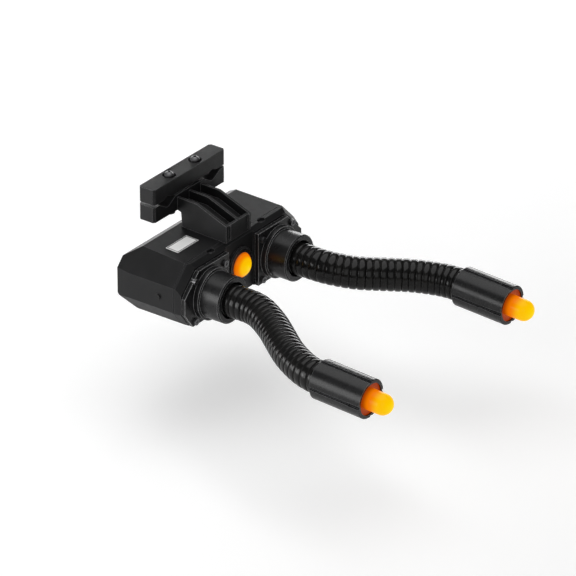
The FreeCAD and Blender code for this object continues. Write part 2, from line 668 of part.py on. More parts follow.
def cover_screw_boss(side):
    """The thick place under the cover's top wall that a cover screw bears on."""
    top = cover_screw_top(side * COVER_SCREW_X)
    wall = COVER_SCREW_HEAD_RADIUS + COVER_SCREW_WALL
    floor = tongue_top(top) + LOOSE_GAP
    roof = housing_top(COVER_BACK_Y) - COVER_DIMPLE_DEPTH
    return box((top.x - wall, top.x + wall), (COVER_INNER_Y - COVER_WALL / 2, COVER_FRONT_Y), (floor, roof))


def cover_screw_room(side):
    """The dimple, head seat and stem hole of a cover screw."""
    top = cover_screw_top(side * COVER_SCREW_X)
    stem = rod(COVER_SCREW_RADIUS + SEAT_GAP, below(top, COVER_SCREW_LENGTH), top)
    seat = rod(COVER_SCREW_HEAD_RADIUS + SEAT_GAP, below(top, COVER_SCREW_HEAD_HEIGHT + SEAT_GAP / 2), top)
    return stem.fuse([seat, dimple(top)])


def dimple(top):
    """The oval hollow round a cover screw's head."""
    rim = Z_AXIS * (COVER_DIMPLE_DEPTH + OVERRUN)
    ends = [top + X_AXIS * side * COVER_DIMPLE_STRETCH for side in (-1, 1)]
    ovals = [rod(COVER_DIMPLE_RADIUS, end, end + rim) for end in ends]
    depth = (top.y - COVER_DIMPLE_RADIUS, top.y + COVER_DIMPLE_RADIUS)
    middle = box((ends[0].x, ends[1].x), depth, (top.z, top.z + rim.z))
    return joined(ovals + [middle])


def housing_seal():
    """The flat gasket between the shell and the cover."""
    outer = housing_block(SEAL_MARGIN, COVER_FRONT_Y, PARTING_Y)
    inner = housing_block(SEAL_MARGIN + SEAL_WIDTH, COVER_FRONT_Y - OVERRUN, PARTING_Y + OVERRUN)
    return outer.cut(inner)


def board_post_places():
    """The four corners of the main board where the cover's posts carry it."""
    xs = (BOARD_LEFT_X + BOARD_POST_INSET, BOARD_RIGHT_X - BOARD_POST_INSET)
    zs = (BOARD_BOTTOM_Z + BOARD_POST_INSET, BOARD_TOP_Z - BOARD_POST_INSET)
    return [(x, z) for x in xs for z in zs]


def main_board():
    """The circuit board, with the corners of the parts soldered to it left plain."""
    depth = (BOARD_BACK_Y, BOARD_BACK_Y + BOARD_THICKNESS)
    return box((BOARD_LEFT_X, BOARD_RIGHT_X), depth, (BOARD_BOTTOM_Z, BOARD_TOP_Z))


def battery_cell():
    """The round cell, with its raised terminal at the right end."""
    end = CELL_LENGTH / 2
    shoulder = end - CELL_TERMINAL_HEIGHT
    body = rod(CELL_RADIUS, (-end, CELL_Y, cell_z()), (shoulder, CELL_Y, cell_z()))
    cap_root = shoulder - CELL_TERMINAL_HEIGHT
    cap = rod(CELL_TERMINAL_RADIUS, (cap_root, CELL_Y, cell_z()), (end, CELL_Y, cell_z()))
    return joined([body, cap])


def power_button():
    """The round button in the left end wall, with its flange inside."""
    face = -(HOUSING_HALF_WIDTH + BUTTON_PROUD)
    seat = -(HOUSING_HALF_WIDTH - HOUSING_WALL)
    stem = rod(BUTTON_RADIUS, (face, BUTTON_Y, BUTTON_Z), (seat + BUTTON_FLANGE / 2, BUTTON_Y, BUTTON_Z))
    flange = rod(BUTTON_FLANGE_RADIUS, (seat, BUTTON_Y, BUTTON_Z), (seat + BUTTON_FLANGE, BUTTON_Y, BUTTON_Z))
    return joined([stem, flange])


def button_switch():
    """The switch behind the button, on its own little board."""
    outer = switch_board_x()

    def block(x, half):
        """A square block round the button's axis."""
        return box(x, (BUTTON_Y - half, BUTTON_Y + half), (BUTTON_Z - half, BUTTON_Z + half))

    board = block((outer, outer + BOARD_THICKNESS), SWITCH_BOARD_HALF_SIZE)
    body = block((outer - SWITCH_HEIGHT * 0.7, outer), SWITCH_SIZE / 2)
    plunger = rod(BUTTON_RADIUS, (outer - SWITCH_HEIGHT, BUTTON_Y, BUTTON_Z), (outer, BUTTON_Y, BUTTON_Z))
    return joined([board, body, plunger])


def usb_port():
    """The charging port's metal shell, open to the right."""
    front = BOARD_BACK_Y + BOARD_THICKNESS
    mouth = HOUSING_HALF_WIDTH - PORT_RECESS
    back = mouth - PORT_DEPTH
    body = box((back, mouth), (front, front + PORT_THICKNESS), port_zs(0))
    inner_y = (front + PORT_WALL, front + PORT_THICKNESS - PORT_WALL)
    hollow = box((back + PORT_WALL, mouth + OVERRUN), inner_y, port_zs(-PORT_WALL))
    tongue_y = front + PORT_THICKNESS / 2
    tongue = box((back + PORT_WALL / 2, mouth - PORT_RECESS), (tongue_y - PORT_WALL, tongue_y + PORT_WALL),
                 (PORT_Z - PORT_HEIGHT / 3, PORT_Z + PORT_HEIGHT / 3))
    return body.cut(hollow).fuse(tongue).removeSplitter()


def port_cover():
    """The rubber flap over the charging port, on its upright pin."""
    axis_x, axis_y = flap_axis()
    inner = HOUSING_HALF_WIDTH + FLAP_GAP
    near = axis_y - FLAP_EAR_REACH - LOOSE_GAP
    skin = (inner, inner + FLAP_THICKNESS)
    half = FLAP_KNUCKLE_HALF_LENGTH
    plate = box(skin, (near - FLAP_LENGTH, near), (PORT_Z - FLAP_HALF_HEIGHT, PORT_Z + FLAP_HALF_HEIGHT))
    strap = box(skin, (near - FLAP_EAR_REACH, axis_y), (PORT_Z - half, PORT_Z + half))
    knuckle = rod(FLAP_KNUCKLE_RADIUS, (axis_x, axis_y, PORT_Z - half), (axis_x, axis_y, PORT_Z + half))
    reach = half + LOOSE_GAP + FLAP_EAR_THICKNESS
    pin = rod(FLAP_PIN_RADIUS, (axis_x, axis_y, PORT_Z - reach), (axis_x, axis_y, PORT_Z + reach))
    return joined([plate, strap, knuckle, pin])


def centre_bezel():
    """The ring that frames the centre lamp and holds its lens down."""
    floor = COVER_BACK_Y + CENTRE_RECESS_DEPTH
    rim = CENTRE_LENS_RADIUS + SEAT_GAP
    lip = CENTRE_LENS_RADIUS - CENTRE_CUP_WALL
    seat = CENTRE_LENS_RIM + SEAT_GAP
    points = [(rim, 0), (BEZEL_RADIUS, 0), (BEZEL_RADIUS, BEZEL_HEIGHT - BEZEL_EDGE),
              (BEZEL_RADIUS - BEZEL_EDGE, BEZEL_HEIGHT), (lip, BEZEL_HEIGHT), (lip, seat), (rim, seat)]
    return turned(points, (0, floor, CENTRE_LAMP_Z), (0, -1, 0))


def dome_lens(radius, rim_radius, rim, stem, rise, centre):
    """A lens with a flat rim, a straight stem and a domed tip, facing rearwards."""
    place = Vector(centre)
    back = Vector(0, -1, 0)
    sphere_radius = (radius ** 2 + rise ** 2) / (2 * rise)
    tip = stem + rise
    ball = Part.makeSphere(sphere_radius, place + back * (tip - sphere_radius))
    dome = rod(radius, place + back * stem, place + back * tip).common(ball)
    return joined([dome, rod(radius, place, place + back * stem), rod(rim_radius, place, place + back * rim)])


def centre_lens():
    """The centre lamp's amber lens."""
    floor = COVER_BACK_Y + CENTRE_RECESS_DEPTH
    radius = CENTRE_LENS_RADIUS - CENTRE_CUP_WALL - SEAT_GAP
    place = (0, floor, CENTRE_LAMP_Z)
    return dome_lens(radius, CENTRE_LENS_RADIUS, CENTRE_LENS_RIM, BEZEL_HEIGHT, CENTRE_LENS_DOME, place)


def lamp_cup(front_radius, back_radius, wall, length, back, x, z):
    """A conical reflector cup that opens rearwards."""
    points = [(back_radius, 0), (back_radius + wall, 0), (front_radius, length),
              (front_radius - wall, length)]
    return turned(points, (x, back, z), (0, -1, 0))


def centre_reflector():
    """The reflector cup between the centre lamp's diode and its lens."""
    back = BOARD_BACK_Y - SEAT_GAP
    length = back - (COVER_BACK_Y + CENTRE_RECESS_DEPTH) - SEAT_GAP
    front_radius = CENTRE_LENS_RADIUS + CENTRE_CUP_WALL / 2
    return lamp_cup(front_radius, CENTRE_CUP_BACK_RADIUS, CENTRE_CUP_WALL, length, back, 0, CENTRE_LAMP_Z)


def centre_led():
    """The diode on the main board behind the centre lens."""
    half = CENTRE_CHIP_SIZE / 2
    depth = (BOARD_BACK_Y - CENTRE_CHIP_HEIGHT, BOARD_BACK_Y)
    return box((-half, half), depth, (CENTRE_LAMP_Z - half, CENTRE_LAMP_Z + half))


def label_plate():
    """A blank plate that lies on the housing's sloping top."""
    rear = PLATE_Y - PLATE_DEPTH / 2
    front = PLATE_Y + PLATE_DEPTH / 2
    side = [(rear, housing_top(rear)), (front, housing_top(front)),
            (front, housing_top(front) + PLATE_THICKNESS), (rear, housing_top(rear) + PLATE_THICKNESS)]
    return prism_x(side, PLATE_X - PLATE_LENGTH / 2, PLATE_X + PLATE_LENGTH / 2)


def socket_screw_places(side):
    """The four screws round one socket, in X and Z."""
    xs = [side * SOCKET_X + i * SOCKET_SCREW_DX for i in (-1, 1)]
    return [(x, SOCKET_Z + j * SOCKET_SCREW_DZ) for x in xs for j in (-1, 1)]


def socket_screw(x, z):
    """A pan head screw through the flange into the cover's boss, with a cross in its head."""
    seat = FLANGE_BACK_Y
    top = seat - SOCKET_SCREW_HEAD_HEIGHT
    head = rod(SOCKET_SCREW_HEAD_RADIUS, (x, seat, z), (x, top, z))
    arm = SOCKET_SCREW_HEAD_RADIUS * 0.6
    slot = SOCKET_SCREW_HEAD_RADIUS * 0.14
    depth = (top - OVERRUN, top + SOCKET_SCREW_HEAD_HEIGHT / 2)
    head = head.cut(box((x - arm, x + arm), depth, (z - slot, z + slot)))
    head = head.cut(box((x - slot, x + slot), depth, (z - arm, z + arm)))
    return joined([head, rod(SOCKET_SCREW_RADIUS, (x, seat, z), (x, SOCKET_HOLE_FRONT_Y - SEAT_GAP, z))])


def right_socket():
    """The flange, collar and sleeve that hold the right arm."""
    top_x = FLANGE_OUTER_X - FLANGE_TOP_CHAMFER
    low_x = FLANGE_OUTER_X - FLANGE_BOTTOM_CHAMFER
    outline = [(FLANGE_INNER_X, FLANGE_BOTTOM_Z), (low_x, FLANGE_BOTTOM_Z),
               (FLANGE_OUTER_X, FLANGE_BOTTOM_Z + FLANGE_BOTTOM_RISE),
               (FLANGE_OUTER_X, FLANGE_TOP_Z - FLANGE_TOP_CHAMFER), (top_x, FLANGE_TOP_Z),
               (FLANGE_INNER_X, FLANGE_TOP_Z)]
    flange = prism_y(outline, FLANGE_BACK_Y, COVER_BACK_Y)
    for x, z in socket_screw_places(1):
        ends = [(x, y, z) for y in (FLANGE_BACK_Y - OVERRUN, COVER_BACK_Y + OVERRUN)]
        flange = flange.cut(rod(SOCKET_SCREW_RADIUS + SEAT_GAP, ends[0], ends[1]))
    mouth = COVER_BACK_Y - SLEEVE_MOUTH_Y
    collar_end = FLANGE_THICKNESS + COLLAR_HEIGHT
    seat_end = SOCKET_FLOOR + SLEEVE_SEAT_DEPTH
    seat = HOSE_RADIUS + SEAT_GAP
    points = [(seat, SOCKET_FLOOR), (seat, seat_end), (SLEEVE_MOUTH_RADIUS, seat_end + SLEEVE_EDGE),
              (SLEEVE_MOUTH_RADIUS, mouth - SLEEVE_EDGE / 2), (SLEEVE_MOUTH_RADIUS + SLEEVE_EDGE / 2, mouth),
              (SLEEVE_RADIUS - SLEEVE_EDGE, mouth), (SLEEVE_RADIUS, mouth - SLEEVE_EDGE),
              (SLEEVE_RADIUS, collar_end), (COLLAR_RADIUS, collar_end), (COLLAR_RADIUS, 0),
              (LEAD_HOLE_RADIUS, 0), (LEAD_HOLE_RADIUS, SOCKET_FLOOR)]
    sleeve = turned(points, (SOCKET_X, COVER_BACK_Y, SOCKET_Z), (0, -1, 0))
    well = rod(seat, (SOCKET_X, SOCKET_FLOOR_Y, SOCKET_Z), (SOCKET_X, SLEEVE_MOUTH_Y, SOCKET_Z))
    lead_start = (SOCKET_X, COVER_BACK_Y + OVERRUN, SOCKET_Z)
    lead = rod(LEAD_HOLE_RADIUS, lead_start, (SOCKET_X, SLEEVE_MOUTH_Y, SOCKET_Z))
    return flange.cut(well).cut(lead).fuse(sleeve).removeSplitter()


class Route:
    """The arm's centre line: straight runs joined by tangent arcs, measured from its start."""

    def __init__(self, points, share):
        corners = [Vector(p) for p in points]
        self.pieces = []
        here = corners[0]
        for before, corner, after in zip(corners, corners[1:], corners[2:]):
            arriving = (corner - before).normalize()
            leaving = (after - corner).normalize()
            turn = arriving.getAngle(leaving)
            reach = share * min((corner - before).Length, (after - corner).Length)
            radius = reach / math.tan(turn / 2)
            start = corner - arriving * reach
            self.pieces.append(("run", here, arriving, (start - here).Length))
            inward = (leaving - arriving * arriving.dot(leaving)).normalize()
            centre = start + inward * radius
            self.pieces.append(("arc", start, arriving, radius * turn, centre, inward, radius))
            here = corner + leaving * reach
            print("route arc radius", round(radius, 1), "turn", round(math.degrees(turn), 1))
        self.pieces.append(("run", here, (corners[-1] - here).normalize(), (corners[-1] - here).Length))
        self.length = sum(piece[3] for piece in self.pieces)

    def at(self, distance):
        """The point and the direction at a distance from the start."""
        left = distance
        for piece in self.pieces[:-1]:
            if left <= piece[3]:
                break
            left -= piece[3]
        else:
            piece = self.pieces[-1]
        if piece[0] == "run":
            return piece[1] + piece[2] * left, piece[2]
        _, _, arriving, _, centre, inward, radius = piece
        angle = left / radius
        point = centre + (arriving * math.sin(angle) - inward * math.cos(angle)) * radius
        return point, arriving * math.cos(angle) + inward * math.sin(angle)


def head_point(depth):
    """A place on the right lamp head's drooping axis, measured from its rear face."""
    droop = math.radians(HEAD_DROOP)
    x, y, z = ROUTE_BEND_4
    rear = Vector(x, HEAD_REAR_Y, z + (HEAD_REAR_Y - y) * math.tan(droop))
    return rear + Vector(0, -math.cos(droop), -math.sin(droop)) * depth


def in_head(shape):
    """A shape made at the origin, facing -Y, set on the right lamp head's axis."""
    shape.rotate(Vector(0, 0, 0), X_AXIS, HEAD_DROOP)
    shape.translate(head_point(0))
    return shape


def arm_route():
    """The right arm's route, from the socket's floor to its end inside the lamp head."""
    start = (SOCKET_X, HOSE_START_Y, SOCKET_Z)
    end = tuple(head_point(HEAD_PLUG_DEPTH))
    return Route([start, ROUTE_BEND_1, ROUTE_BEND_2, ROUTE_BEND_3, ROUTE_BEND_4, end], ROUTE_TANGENT_SHARE)


def ring(route, distance, radius):
    """A circle square to the route, its own X axis kept level."""
    point, along = route.at(distance)
    level = along.cross(Z_AXIS).normalize()
    circle = Part.Circle(point, along, radius)
    circle.XAxis = level
    return Part.Wire([circle.toShape()])


def hose_skin(route, start, end):
    """The ribbed outside of a length of hose: a ruled loft through four circles for each rib.

    The ribs that reach into the lamp head are a plug for the barrel's seat.
    """
    count = max(1, round((end - start) / RIB_PITCH))
    pitch = (end - start) / count
    groove_depth = HOSE_RADIUS - HOSE_GROOVE_RADIUS
    head_rear = route.length - HEAD_PLUG_DEPTH
    rings = []
    for i in range(count):
        foot = start + i * pitch
        rib = HOSE_PLUG_RADIUS if foot + pitch > head_rear else HOSE_RADIUS
        rings.append(ring(route, foot + RIB_GROOVE / 2, rib - groove_depth))
        rings.append(ring(route, foot + RIB_GROOVE / 2 + RIB_FLANK, rib))
        rings.append(ring(route, foot + pitch - RIB_GROOVE / 2 - RIB_FLANK, rib))
        rings.append(ring(route, foot + pitch - RIB_GROOVE / 2, rib - groove_depth))
    rings[0] = ring(route, start, HOSE_GROOVE_RADIUS)
    rings[-1] = ring(route, end, rib - groove_depth)
    return Part.makeLoft(rings, True, True)


def hose_bore(route, start, end):
    """The hole along a length of hose."""
    count = max(2, round((end - start) / RIB_PITCH))
    step = (end - start) / count
    rings = [ring(route, start + i * step, HOSE_BORE_RADIUS) for i in range(count + 1)]
    return Part.makeLoft(rings, True, True)


def neck_sizes():
    """How far the shoulder stands from a hinge, and the neck's radius, for the hinge's limit."""
    limit = math.radians(HINGE_LIMIT)
    rim_angle = math.asin(CUP_RIM / CUP_RADIUS)
    corner = math.hypot(HOSE_RADIUS, CUP_RIM)
    shoulder = corner * math.sin(math.atan2(CUP_RIM, HOSE_RADIUS) + limit) + LOOSE_GAP
    neck = CUP_RADIUS * math.cos(rim_angle + limit) - LOOSE_GAP
    return shoulder, neck


def hinge_places(route):
    """Distances of the hinges from the route's start."""
    mouth = HOSE_START_Y - SLEEVE_MOUTH_Y
    return [mouth + FIRST_HINGE + i * HINGE_PITCH for i in range(HINGE_COUNT)]


def hose_link(route, index):
    """One stiff link of the right arm's hose: its cup faces the socket and its ball the head."""
    hinges = hinge_places(route)
    shoulder, neck = neck_sizes()
    start = 0.0 if index == 0 else hinges[index - 1] - CUP_RIM
    end = route.length if index == HINGE_COUNT else hinges[index] - shoulder
    shape = hose_skin(route, start, end)
    bore_start = start
    if index > 0:
        centre, along = route.at(hinges[index - 1])
        floor = CUP_RADIUS + CUP_FLOOR_STEP
        pocket = Part.makeSphere(CUP_RADIUS, centre)
        shape = shape.cut(pocket).cut(rod(CUP_FLOOR_RADIUS, centre, centre + along * floor))
        bore_start = hinges[index - 1] + floor - CUP_FLOOR_STEP / 2
    bore_end = end
    if index < HINGE_COUNT:
        centre, along = route.at(hinges[index])
        stem = rod(neck, centre - along * (shoulder + RIB_FLANK), centre)
        shape = shape.fuse(stem).fuse(Part.makeSphere(BALL_RADIUS, centre))
        bore_end = end - NECK_STEP
        bore_root = centre - along * (shoulder + 2 * NECK_STEP)
        shape = shape.cut(rod(NECK_BORE_RADIUS, bore_root, centre + along * BALL_RADIUS))
    return shape.cut(hose_bore(route, bore_start, bore_end))


def head_barrel(side):
    """A lamp head's barrel: a seat for the hose behind a web, and the lamp's well in front of it.

    Both barrels carry their grooves at the same angles, so the left one's are turned before it is mirrored.
    """
    front = HEAD_LENGTH
    seat = HEAD_SEAT_RADIUS
    points = [(seat, 0), (HEAD_RADIUS - HEAD_EDGE, 0), (HEAD_RADIUS, HEAD_EDGE),
              (HEAD_RADIUS, front - HEAD_RIM_EDGE), (HEAD_RADIUS - HEAD_RIM_EDGE, front),
              (LAMP_WELL_RADIUS, front), (LAMP_WELL_RADIUS, LAMP_WELL_DEPTH),
              (HOSE_BORE_RADIUS, LAMP_WELL_DEPTH), (HOSE_BORE_RADIUS, HEAD_WEB_DEPTH), (seat, HEAD_WEB_DEPTH)]
    shape = turned(points, (0, 0, 0), (0, -1, 0))
    for angle in HEAD_FACE_ANGLES:
        shape = shape.cut(face_cut(angle if side > 0 else 90 - angle))
    for angle in HEAD_GROOVE_ANGLES:
        place = angle if side > 0 else 180 - angle
        groove = radial_cut(place, HEAD_GROOVE_WIDTH, HEAD_GROOVE_DEPTH, HEAD_LENGTH)
        slot = radial_cut(place, HEAD_SLOT_WIDTH, HEAD_SLOT_DEPTH, HEAD_SLOT_LENGTH)
        shape = shape.cut([groove, slot])
    return in_head(shape)


def face_cut(start):
    """A thin quarter shell along the barrel's outside, from an angle on."""
    rear = (0, OVERRUN, 0)
    front = (0, -HEAD_LENGTH - OVERRUN, 0)
    skin = rod(HEAD_RADIUS + OVERRUN, rear, front).cut(rod(HEAD_RADIUS - HEAD_FACE_DEPTH, rear, front))
    reach = HEAD_RADIUS + 2 * OVERRUN
    quarter = box((0, reach), (rear[1], front[1]), (0, reach))
    quarter.rotate(Vector(0, 0, 0), Y_AXIS, -start)
    return skin.common(quarter)


def radial_cut(angle, width, depth, length):
    """A straight cut along the barrel's outside, over a length behind its front face."""
    front = -HEAD_LENGTH
    reach = (HEAD_RADIUS - depth, HEAD_RADIUS + OVERRUN)
    tool = box(reach, (front - OVERRUN, front + length), (-width / 2, width / 2))
    tool.rotate(Vector(0, 0, 0), Y_AXIS, -angle)
    return tool


def right_head_board():
    """The lamp's round circuit board with its diode."""
    back = -(LAMP_WELL_DEPTH + SEAT_GAP)
    front = back - LAMP_BOARD_THICKNESS
    half = LAMP_CHIP_SIZE / 2
    disc = rod(LAMP_WELL_RADIUS - SEAT_GAP, (0, back, 0), (0, front, 0))
    chip = box((-half, half), (front - LAMP_CHIP_HEIGHT, front), (-half, half))
    return in_head(joined([disc, chip]))


def right_head_reflector():
    """The lamp's reflector cup, which also holds its lens off the board."""
    back = LAMP_WELL_DEPTH + LAMP_BOARD_THICKNESS + 2 * SEAT_GAP
    length = LAMP_LENS_DEPTH - SEAT_GAP - back
    rim = LAMP_WELL_RADIUS - SEAT_GAP
    return in_head(lamp_cup(rim, LAMP_CUP_BACK_RADIUS, LAMP_CUP_WALL, length, -back, 0, 0))


def right_head_lens():
    """The lamp's amber lens, a rim with a round-nosed tip."""
    stem = LAMP_LENS_RIM + HEAD_EDGE + LAMP_LENS_STEM
    rim = LAMP_WELL_RADIUS - SEAT_GAP
    place = (0, -LAMP_LENS_DEPTH, 0)
    return in_head(dome_lens(LAMP_LENS_RADIUS, rim, LAMP_LENS_RIM, stem, LAMP_LENS_RADIUS, place))


def build():
    """Every node's shape by its name."""
    route = arm_route()
    shapes = {
        "clamp_top_bar": clamp_top_bar(),
        "clamp_bolt_left": clamp_bolt(-1),
        "clamp_bolt_right": clamp_bolt(1),
        "clamp_nuts": Part.makeCompound([clamp_nut(-1), clamp_nut(1)]),
        "bracket": bracket(),
        "bracket_screws": Part.makeCompound([foot_screw(x, y) for x, y in foot_screw_places()]),
        "housing_shell": housing_shell(),
        "housing_seal": housing_seal(),
        "rear_cover": rear_cover(),
        "cover_screws": Part.makeCompound([cover_screw(-1), cover_screw(1)]),
        "label_plate": label_plate(),
        "main_board": main_board(),
        "battery_cell": battery_cell(),
        "centre_bezel": centre_bezel(),
        "centre_lens": centre_lens(),
        "centre_reflector": centre_reflector(),
        "centre_led": centre_led(),
        "power_button": power_button(),
        "button_switch": button_switch(),
        "usb_port": usb_port(),
        "port_cover": port_cover(),
    }
    pairs = {
        "socket": right_socket(),
        "socket_screws": Part.makeCompound([socket_screw(x, z) for x, z in socket_screw_places(1)]),
        "head_board": right_head_board(),
        "head_reflector": right_head_reflector(),
        "head_lens": right_head_lens(),
    }
    for index in range(HINGE_COUNT + 1):
        pairs[f"hose_link_{index + 1}"] = hose_link(route, index)
    for name, shape in pairs.items():
        shapes[f"right_{name}"] = shape
        shapes[f"left_{name}"] = mirrored(shape)
    shapes["right_head_barrel"] = head_barrel(1)
    shapes["left_head_barrel"] = mirrored(head_barrel(-1))
    for i, place in enumerate(hinge_places(route)):
        point, along = route.at(place)
        print("right hinge", i + 1, [round(c, 4) for c in point], "direction", [round(c, 5) for c in along])
    return shapes


os.makedirs("parts", exist_ok=True)
for name, shape in build().items():
    shape.exportStep(f"parts/{name}.step")
    solids = len(shape.Solids)
    print(name, "solids", solids, "valid", shape.isValid(), "volume", round(shape.Volume, 1))
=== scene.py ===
import json
import math
import bmesh
import bpy
from mathutils import Matrix, Vector


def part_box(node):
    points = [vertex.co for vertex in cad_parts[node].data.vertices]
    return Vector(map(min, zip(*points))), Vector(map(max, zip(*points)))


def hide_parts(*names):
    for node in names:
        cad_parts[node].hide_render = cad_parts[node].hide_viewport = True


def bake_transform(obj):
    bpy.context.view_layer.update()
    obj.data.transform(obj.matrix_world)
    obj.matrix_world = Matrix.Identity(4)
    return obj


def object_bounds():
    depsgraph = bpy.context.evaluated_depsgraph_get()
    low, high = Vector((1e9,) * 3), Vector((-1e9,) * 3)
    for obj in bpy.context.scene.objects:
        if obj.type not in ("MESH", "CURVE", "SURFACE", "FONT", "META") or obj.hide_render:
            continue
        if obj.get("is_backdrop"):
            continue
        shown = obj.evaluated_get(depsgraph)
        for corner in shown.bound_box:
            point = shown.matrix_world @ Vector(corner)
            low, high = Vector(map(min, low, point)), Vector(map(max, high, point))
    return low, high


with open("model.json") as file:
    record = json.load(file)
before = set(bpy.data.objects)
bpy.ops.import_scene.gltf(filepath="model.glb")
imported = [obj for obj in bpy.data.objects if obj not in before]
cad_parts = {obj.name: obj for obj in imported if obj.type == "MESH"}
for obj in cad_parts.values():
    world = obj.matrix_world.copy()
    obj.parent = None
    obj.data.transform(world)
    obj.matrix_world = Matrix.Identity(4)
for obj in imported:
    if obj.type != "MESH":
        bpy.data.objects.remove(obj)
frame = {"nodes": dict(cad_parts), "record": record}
cad_low, cad_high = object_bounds()
nodes = frame["nodes"]
MM = 0.001

# Camera at the photograph's angle
AZIMUTH = math.radians(-53.38)
ELEVATION = math.radians(28.0)
CAMERA_DISTANCE = 3.6
CAMERA_RIGHT = 0.0636
CAMERA_DOWN = 0.0628
CAMERA_RAISE = 0.0014
CAMERA_LENS = 374.6
SENSOR_WIDTH = 36
VIEW_END = 50

# The right arm's route in millimetres. The left arm is its mirror image.
ROUTE_START = (33.45, -44.9, -43.8)
ROUTE_BENDS = [(33.45, -82.2, -43.8), (41.4, -98.8, -46.0), (62.7, -127.3, -47.6), (71.7, -147.4, -48.8)]
ROUTE_SHARE = 0.42
HEAD_REAR_Y = -156.1
HEAD_DROOP = math.radians(3.0)
HEAD_PLUG = 20.6
LENS_TIP = 51.4

# The ribbed hose in millimetres, and half a rib's outline: shares of the pitch and of the groove's depth
HOSE_RADIUS = 10.2
HOSE_GROOVE = 9.4
HOSE_BORE = 4.5
RIB_PITCH = 4.4
RIB_SIDES = 56
RIB_FLANK = [(0.03, 0.05), (0.06, 0.42), (0.1, 0.68), (0.17, 0.84), (0.3, 0.96)]

# Each stretch of hose: the rib that it ends at, its hinge's distance along the route, the bend's start and
# end from the hinge, and the links that it stands for. The last stretch ends with the route.
STRETCHES = [
    (8, 24.5, (-5.5, 7), (1,)),
    (14, 48.5, (-10, 10), (2,)),
    (19, 72.5, (-10, 10), (3,)),
    (None, 96.5, (-10, 10), (4, 5)),
]

# Studio light: each lamp's name, place, width and height in metres, and power in watts
LAMPS = [
    ("top", (0.05, 0.05, 1.35), (1.6, 1.6), 14.0),
    ("back", (1.05, 0.8, 0.85), (1.3, 1.3), 1.2),
    ("side", (-1.1, 0.6, 0.16), (0.8, 0.7), 7.5),
    ("rim", (1.05, 0.62, 0.1), (1.3, 0.3), 7.0),
    ("fill", (-0.9, -0.7, 0.45), (0.8, 0.8), 2.0),
    ("flank", (-0.75, 1.1, 0.08), (0.9, 0.36), 4.5),
]
LAMP_AIM = Vector((0, -0.07, -0.03))
SURROUND = 0.12

# The light hangs from saddle rails, so the floor lies below the arms' lowest reach
FLOOR_DROP = 0.065
FLOOR_HALF_SIZE = 12
FLOOR_PAINT = ((0.9, 0.9, 0.9), (0.92, 0.92, 0.92))
FLOOR_PATCHES = 3
FLOOR_ROUGHNESS = 0.9
FLOOR_GLEAM = 0.1
FLOOR_GLOW = 0.24

# The lit lenses' glow at shares of their reach from the tip, and that reach in metres
GLOW = [(0.0, (1.0, 0.68, 0.0)), (0.45, (1.0, 0.54, 0.0)), (0.75, (0.9, 0.2, 0.0)), (1.0, (0.3, 0.03, 0.0))]
GLOW_STRENGTH = 0.95
CENTRE_REACH = 0.0105
HEAD_REACH = 0.0185

# The lenses' plastic under the glow
LENS_COLOURS = ((0.03, 0.006, 0.0), (0.04, 0.008, 0.0))
LENS_COLOUR_PATCHES = 400
LENS_ROUGHNESS = (0.22, 0.32)
LENS_GLOSS_PATCHES = 300
LENS_GLEAM = 0.08

# Painted edge highlights, a lighter colour painted along outer edges where a rounded edge would catch the
# light:
# their width in metres, and how far a rounded normal agrees with the face's own where they begin and where
# they are full
EDGE_HIGHLIGHT_WIDTH = 0.0005
EDGE_HIGHLIGHT_SAMPLES = 6
EDGE_HIGHLIGHT_BEGINS = 0.995
EDGE_HIGHLIGHT_FULL = 0.9

# Rounding in metres on moulded edges sharper than an angle, once vertices at the same place are one
ROUNDING = 0.00025
ROUNDING_ANGLE = math.radians(30)
ROUNDING_STEPS = 2
LARGE_FACE_WEIGHT = 80
SAME_PLACE = 0.000002

# The blank plate's plastic, and its border line: inset and half width in metres
PLATE = ((0.82, 0.82, 0.81), (0.87, 0.87, 0.86), (0.4, 0.5), 2400, 0.00001)
BORDER_COLOUR = (0.03, 0.03, 0.03)
BORDER_INSET = 0.0006
BORDER_HALF_WIDTH = 0.00028

# Scales of the patches in a surface's colour and in its gloss, and the noise values that they lie between
COLOUR_PATCHES = 90
GLOSS_PATCHES = 207
COLOUR_STOPS = (0.35, 0.65)
GLOSS_STOPS = (0.3, 0.7)
